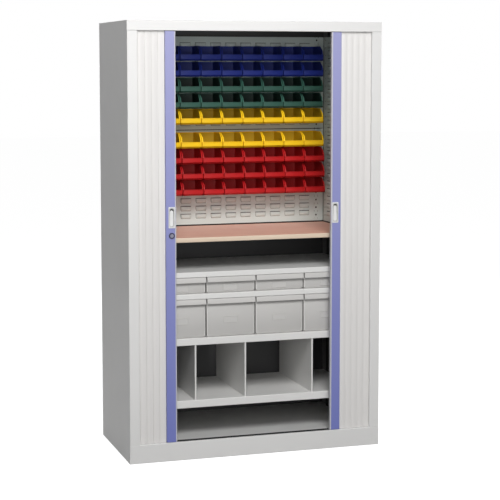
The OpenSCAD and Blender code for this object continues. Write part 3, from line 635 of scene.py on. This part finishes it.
def pull_lip(half, front, high):
    """The lip: a strip over the drawer's whole width that flares forward on its way down and turns
    in at its foot, with a small cheek at each end."""
    top_y, foot_y = lip_flare - lip_out, -lip_out
    way = np.array([[0.001, 0], [top_y, 0], [foot_y, -lip_tall], [foot_y + 0.0032, -lip_tall]])
    inner = np.array([[0.001, -drawer_wall], [top_y + drawer_wall, -drawer_wall],
                      [foot_y + drawer_wall, 0.0012 - lip_tall], [foot_y + 0.0032, 0.0008 - lip_tall]])
    edge = [front, high]
    strip = straight(eased(way, 0.003) + edge, eased(inner, 0.002) + edge, -half, half, 0)
    tops = np.array([[top_y + 0.001, -0.002], [-0.005, -0.002], [0.0005, -0.002]]) + edge
    feet = np.array([[foot_y + 0.0018, -0.02], [-0.006, -0.022], [0.0005, -0.0225]]) + edge
    cheeks = [straight(tops, feet, x, x + 0.002, 0) for x in (0.0002 - half, half - 0.0022)]
    return joined([strip, *cheeks])


def card_holder(front, middle):
    """The card holder: its height is a ramp of the distance from its edge, less a second ramp that
    starts three millimetres in, so that a frame stands round a shallow bed. Painted shade lies in the angle
    between frame and bed, as a dark line."""
    near = np.array([0, 0.0004, 0.0026, 0.003, 0.0055])
    x = np.concatenate([near - card_w / 2, [0], card_w / 2 - near[::-1]])
    z = np.concatenate([near - card_h / 2, card_h / 2 - near[::-1]])
    across, up = np.meshgrid(x, z)
    inward = np.minimum(card_w / 2 - abs(across), card_h / 2 - abs(up))
    ramps = np.clip(inward / 0.0004, 0, 1) - np.clip((inward - 0.0026) / 0.0004, 0, 1)
    out = card_low + card_frame * ramps
    face = np.stack([across, front - out, up + middle], -1)
    back = np.stack([across, 0 * across + front + 0.0005, up + middle], -1)
    # Painted shade: a dark line in the angle inside the frame.
    crease_shade = np.clip(1 - abs(inward - 0.003) / 0.0025, 0, 1) * (inward >= 0.003)
    return shell(face, back), np.concatenate([crease_shade.ravel(), 0 * crease_shade.ravel()])


def edge_beads(half, front, low, high):
    """Two half-round beads up the corners of the front, in a lighter, glossier plastic that paints a
    highlight along each edge.
    """
    turn = np.linspace(0, np.pi, 6)
    bead = np.stack([0.0018 * np.cos(turn), -0.0009 * np.sin(turn)], -1)
    foot = np.stack([bead[:, 0], np.full(6, 0.0004)], -1)
    return joined([straight(bead + [x, front], foot + [x, front], low, high, 2)
                   for x in (0.0028 - half, half - 0.0028)])


# The drawer plastic darkens by 0.6 where the card holder's painted shade is 1.
drawer_plastic = moulded("drawer_plastic", (0.53, 0.52, 0.505), roughness=0.46, stipple=1400, uneven=0.03,
                         painted_shade=0.6)
# Painted highlight: the beads are a lighter grey than the drawers, so the drawers' edges read as lit.
bead_highlight_plastic = moulded("drawer_edge_painted_highlight", (0.66, 0.65, 0.63), roughness=0.25, shine=0.6)
for name in sorted(nodes):
    if name[:-1] in ("small_drawer_", "large_drawer_"):
        low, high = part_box(name)
        front = low.y + lip_out
        half = (high.x - low.x) / 2
        holder, crease_shade = card_holder(front, (low.z + high.z - lip_tall) / 2)
        box = joined([holder, drawer_box(half, front, high.y, low.z, high.z),
                      pull_lip(half, front, high.z)])
        middle = (low.x + high.x) / 2
        made(name + "_moulded", repeated(box, [(middle, 0, 0)]), drawer_plastic, name, "drawer_grey", name,
             painted_shade=np.pad(crease_shade, (0, len(box[0]) - len(crease_shade))))
        beads = edge_beads(half, front, low.z + 0.006, high.z - lip_tall - 0.001)
        made(name + "_beads", repeated(beads, [(middle, 0, 0)]), bead_highlight_plastic, name, "drawer_grey")


# The roll fronts are slats of painted aluminium profile, 30 mm wide, hooked into one another. The
# joint of each is a narrow strip that lies a millimetre back, which gives the fine double lines.
slat_paint = powder_coat("slat_paint", (0.72, 0.705, 0.69), roughness=0.4, uneven=0.02)
slat_count, slat_pitch, slat_t = 5, 0.03, 0.005
slat_flat, joint_back = 0.0247, 0.0011
for side, way in (("left", 1), ("right", -1)):
    name = side + "_front_leaf"
    low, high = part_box(name)
    face = np.array([[0, 0.0008], [0.0003, 0.0002], [0.0009, 0], [slat_flat - 0.0008, 0],
                     [slat_flat, 0.0004], [slat_flat + 0.0003, joint_back], [0.0292, joint_back],
                     [0.0296, joint_back + 0.0004]])
    slat = straight(face, np.column_stack([face[:, 0], np.full(len(face), slat_t)]), low.z, high.z, 2)
    row = repeated(slat, [(i * slat_pitch, 0, 0) for i in range(slat_count)])
    start = low.x if way > 0 else high.x
    placed = row[0] * [way, 1, 1] + [start, low.y, 0]
    made(name + "_slats", (placed, row[1]), slat_paint, side + "_roll_front", "slat_paint", name)
    dress(slat_paint, side + "_leaf_2", side + "_leaf_3", side + "_leaf_4")

# The leading bars are extruded profiles in a satin violet-blue coat, a little glossier than the
# case; the coat's colour is painted paler towards the top, as a painted sheen of the lamps above. A pale
# grey moulding is pressed onto each closing edge.
# Painted sheen: the blue turns paler from the foot to the top of the bars, as if lit from above.
foot_blue, painted_sheen_blue = (0.145, 0.17, 0.465), (0.31, 0.315, 0.54)
foot_z, head_z = 0.1, 1.93
bar_paint = Finish("bar_paint")
height = bar_paint.node("ShaderNodeSeparateXYZ", {}, {0: place_on(bar_paint)}, 2)
painted_sheen_rise = bar_paint.node("ShaderNodeMapRange", {}, {0: height, 1: foot_z, 2: head_z})
blue = bar_paint.node("ShaderNodeMix", {"data_type": "RGBA"}, {
    0: painted_sheen_rise, 6: (*foot_blue, 1), 7: (*painted_sheen_blue, 1)}, 2)
dress(baked(bar_paint, blue, roughness=0.32, uneven=0.02, bump=0.1, shine=0.5), "left_bar", "right_bar")
pale_moulding = moulded("pale_moulding", (0.5, 0.5, 0.54), roughness=0.35)
dress(pale_moulding, "left_edge_strip", "right_edge_strip")

# The handle plates are satin mouldings that clip into the bars. Each has a long round-ended
# recess, and at its top an arched pocket, deep enough for a finger and painted dark as painted shade; the
# recess's edges carry lighter painted shade.
slot_w, slot_end = 0.02, 0.007
slot_deep, plate_out = 0.005, 0.0015


def plate_ring(sides, inset, r, y):
    """A round-cornered ring on an upright plane at a depth, inside (left, right, foot, top) by an
    inset."""
    left, right, foot, top = sides
    return np.insert(outline(left + inset, right - inset, foot + inset, top - inset, r), 1, y, axis=1)


def arch_ring(x, z, r, y):
    """A ring with the corners of the last one: half a circle above, and below it the rounded top of
    a tongue, which falls off in proportion to the distance from the middle."""
    quarter = np.linspace(0, np.pi / 2, 4)
    turn = np.concatenate([quarter + corner * np.pi / 2 for corner in (-1, 0, 1, 2)])
    side = r * np.cos(turn)
    is_top = np.repeat([False, True, True, False], 4)
    up = np.where(is_top, r * np.sin(turn), 0.3 * r - 0.8 * abs(side))
    return np.stack([x + side, np.full(len(turn), y), z + up], -1)


# The handle plastic darkens by 0.88 where its painted shade is 1.
handle_plastic = moulded("handle_plastic", (0.76, 0.76, 0.755), roughness=0.3, painted_shade=0.88)
for name in ("left_pull", "right_pull"):
    low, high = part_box(name)
    x, half = (low.x + high.x) / 2, slot_w / 2
    front, foot, top = low.y, low.z + slot_end, high.z - slot_end
    bed = front + slot_deep
    plate = (low.x, high.x, low.z, high.z)
    slot = (x - half, x + half, foot, top)
    arch_bed = (x - half, x + half, foot, top + 0.0018)
    arch_r = half - 0.0017
    arch_z = top - 0.001 - arch_r
    # The second number of each ring is painted shade: faint dark lines along the recess's edges and a dark
    # arch in the pocket, where shade falls.
    rings = [
        (plate_ring(plate, 0.0025, 0.002, high.y), 0),
        (plate_ring(plate, 0.0025, 0.002, front + plate_out), 0),
        (plate_ring(plate, 0, 0.003, front + plate_out), 0.3),
        (plate_ring(plate, 0, 0.003, front + 0.0004), 0),
        (plate_ring(plate, 0.0004, 0.0028, front), 0),
        (plate_ring(slot, -0.0008, half + 0.0006, front), 0.35),
        (plate_ring(slot, 0, half - 0.0002, front + 0.0008), 0.6),
        (plate_ring(slot, 0.0004, half - 0.0006, bed), 0.45),
        (plate_ring(arch_bed, 0.003, half - 0.0032, bed), 0),
        (arch_ring(x, arch_z, arch_r, bed), 0),
        (arch_ring(x, arch_z, arch_r - 0.0001, bed + 0.0003), 0.85),
        (arch_ring(x, arch_z, arch_r - 0.0001, high.y - 0.0015), 0.85)]
    painted_shade = np.concatenate([np.full(len(ring), value) for ring, value in rings])
    made(name + "_moulded", box_of([ring for ring, value in rings]), handle_plastic,
         name.split("_")[0] + "_roll_front", "pull_grey", name, painted_shade=painted_shade)

# The lock: a dark collar round a zinc barrel, with a hook on the barrel's end inside the bar. The
# strike plate in the other bar takes the hook.
dress(moulded("collar_plastic", (0.045, 0.045, 0.09), roughness=0.3), "lock_collar")
# The barrel's zinc is painted dark, as painted shade inside the collar and in place of its dark key slot.
dress(zinc_plated("barrel_zinc", (0.2, 0.2, 0.25), roughness=0.42), "lock_barrel")
dress(zinc, "lock_hook", "strike_plate")
